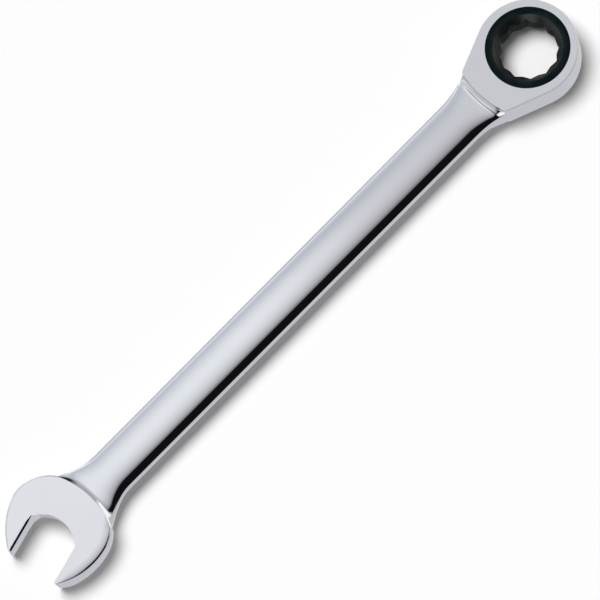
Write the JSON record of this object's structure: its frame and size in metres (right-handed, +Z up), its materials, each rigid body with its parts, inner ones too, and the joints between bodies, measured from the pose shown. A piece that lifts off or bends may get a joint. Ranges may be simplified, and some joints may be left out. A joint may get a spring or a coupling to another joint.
{
  "type": "combination wrench",
  "caption": "Combination wrench with an angled open end and a ratcheting ring end joined by a rounded bar handle, for turning hex nuts and bolts.",
  "frame": {"origin": "on the axis of the ratchet socket at half the thickness of the head", "axes": "+Z up the socket axis to the side without the retaining ring, +X along the handle from the open end to the ratchet end"},
  "size_m": [0.1718, 0.0246, 0.0072],
  "materials": {
    "body_chrome": "polished chrome with satin head faces",
    "gear_black": "black oxide",
    "pawl_steel": "ground hardened steel",
    "spring_steel": "drawn spring wire",
    "ring_steel": "phosphated spring steel"
  },
  "bodies": {
    "body": {"wrench_body": "body_chrome", "retaining_ring": "ring_steel", "pawl_spring": "spring_steel"},
    "gear": {"ratchet_gear": "gear_black"},
    "pawl": {"pawl": "pawl_steel"}
  },
  "joints": [
    {"name": "gear_spin", "type": "hinge", "parent": "body", "child": "gear", "pos_m": [0, 0, 0], "axis": [0, 0, 1], "continuous": true},
    {"name": "pawl_slide", "type": "slide", "parent": "body", "child": "pawl", "axis": [-1, 0, 0], "range_m": [0, 0.0007], "stiffness_N_per_m": 500, "springref_m": -0.001, "deforming": ["pawl_spring"]}
  ]
}
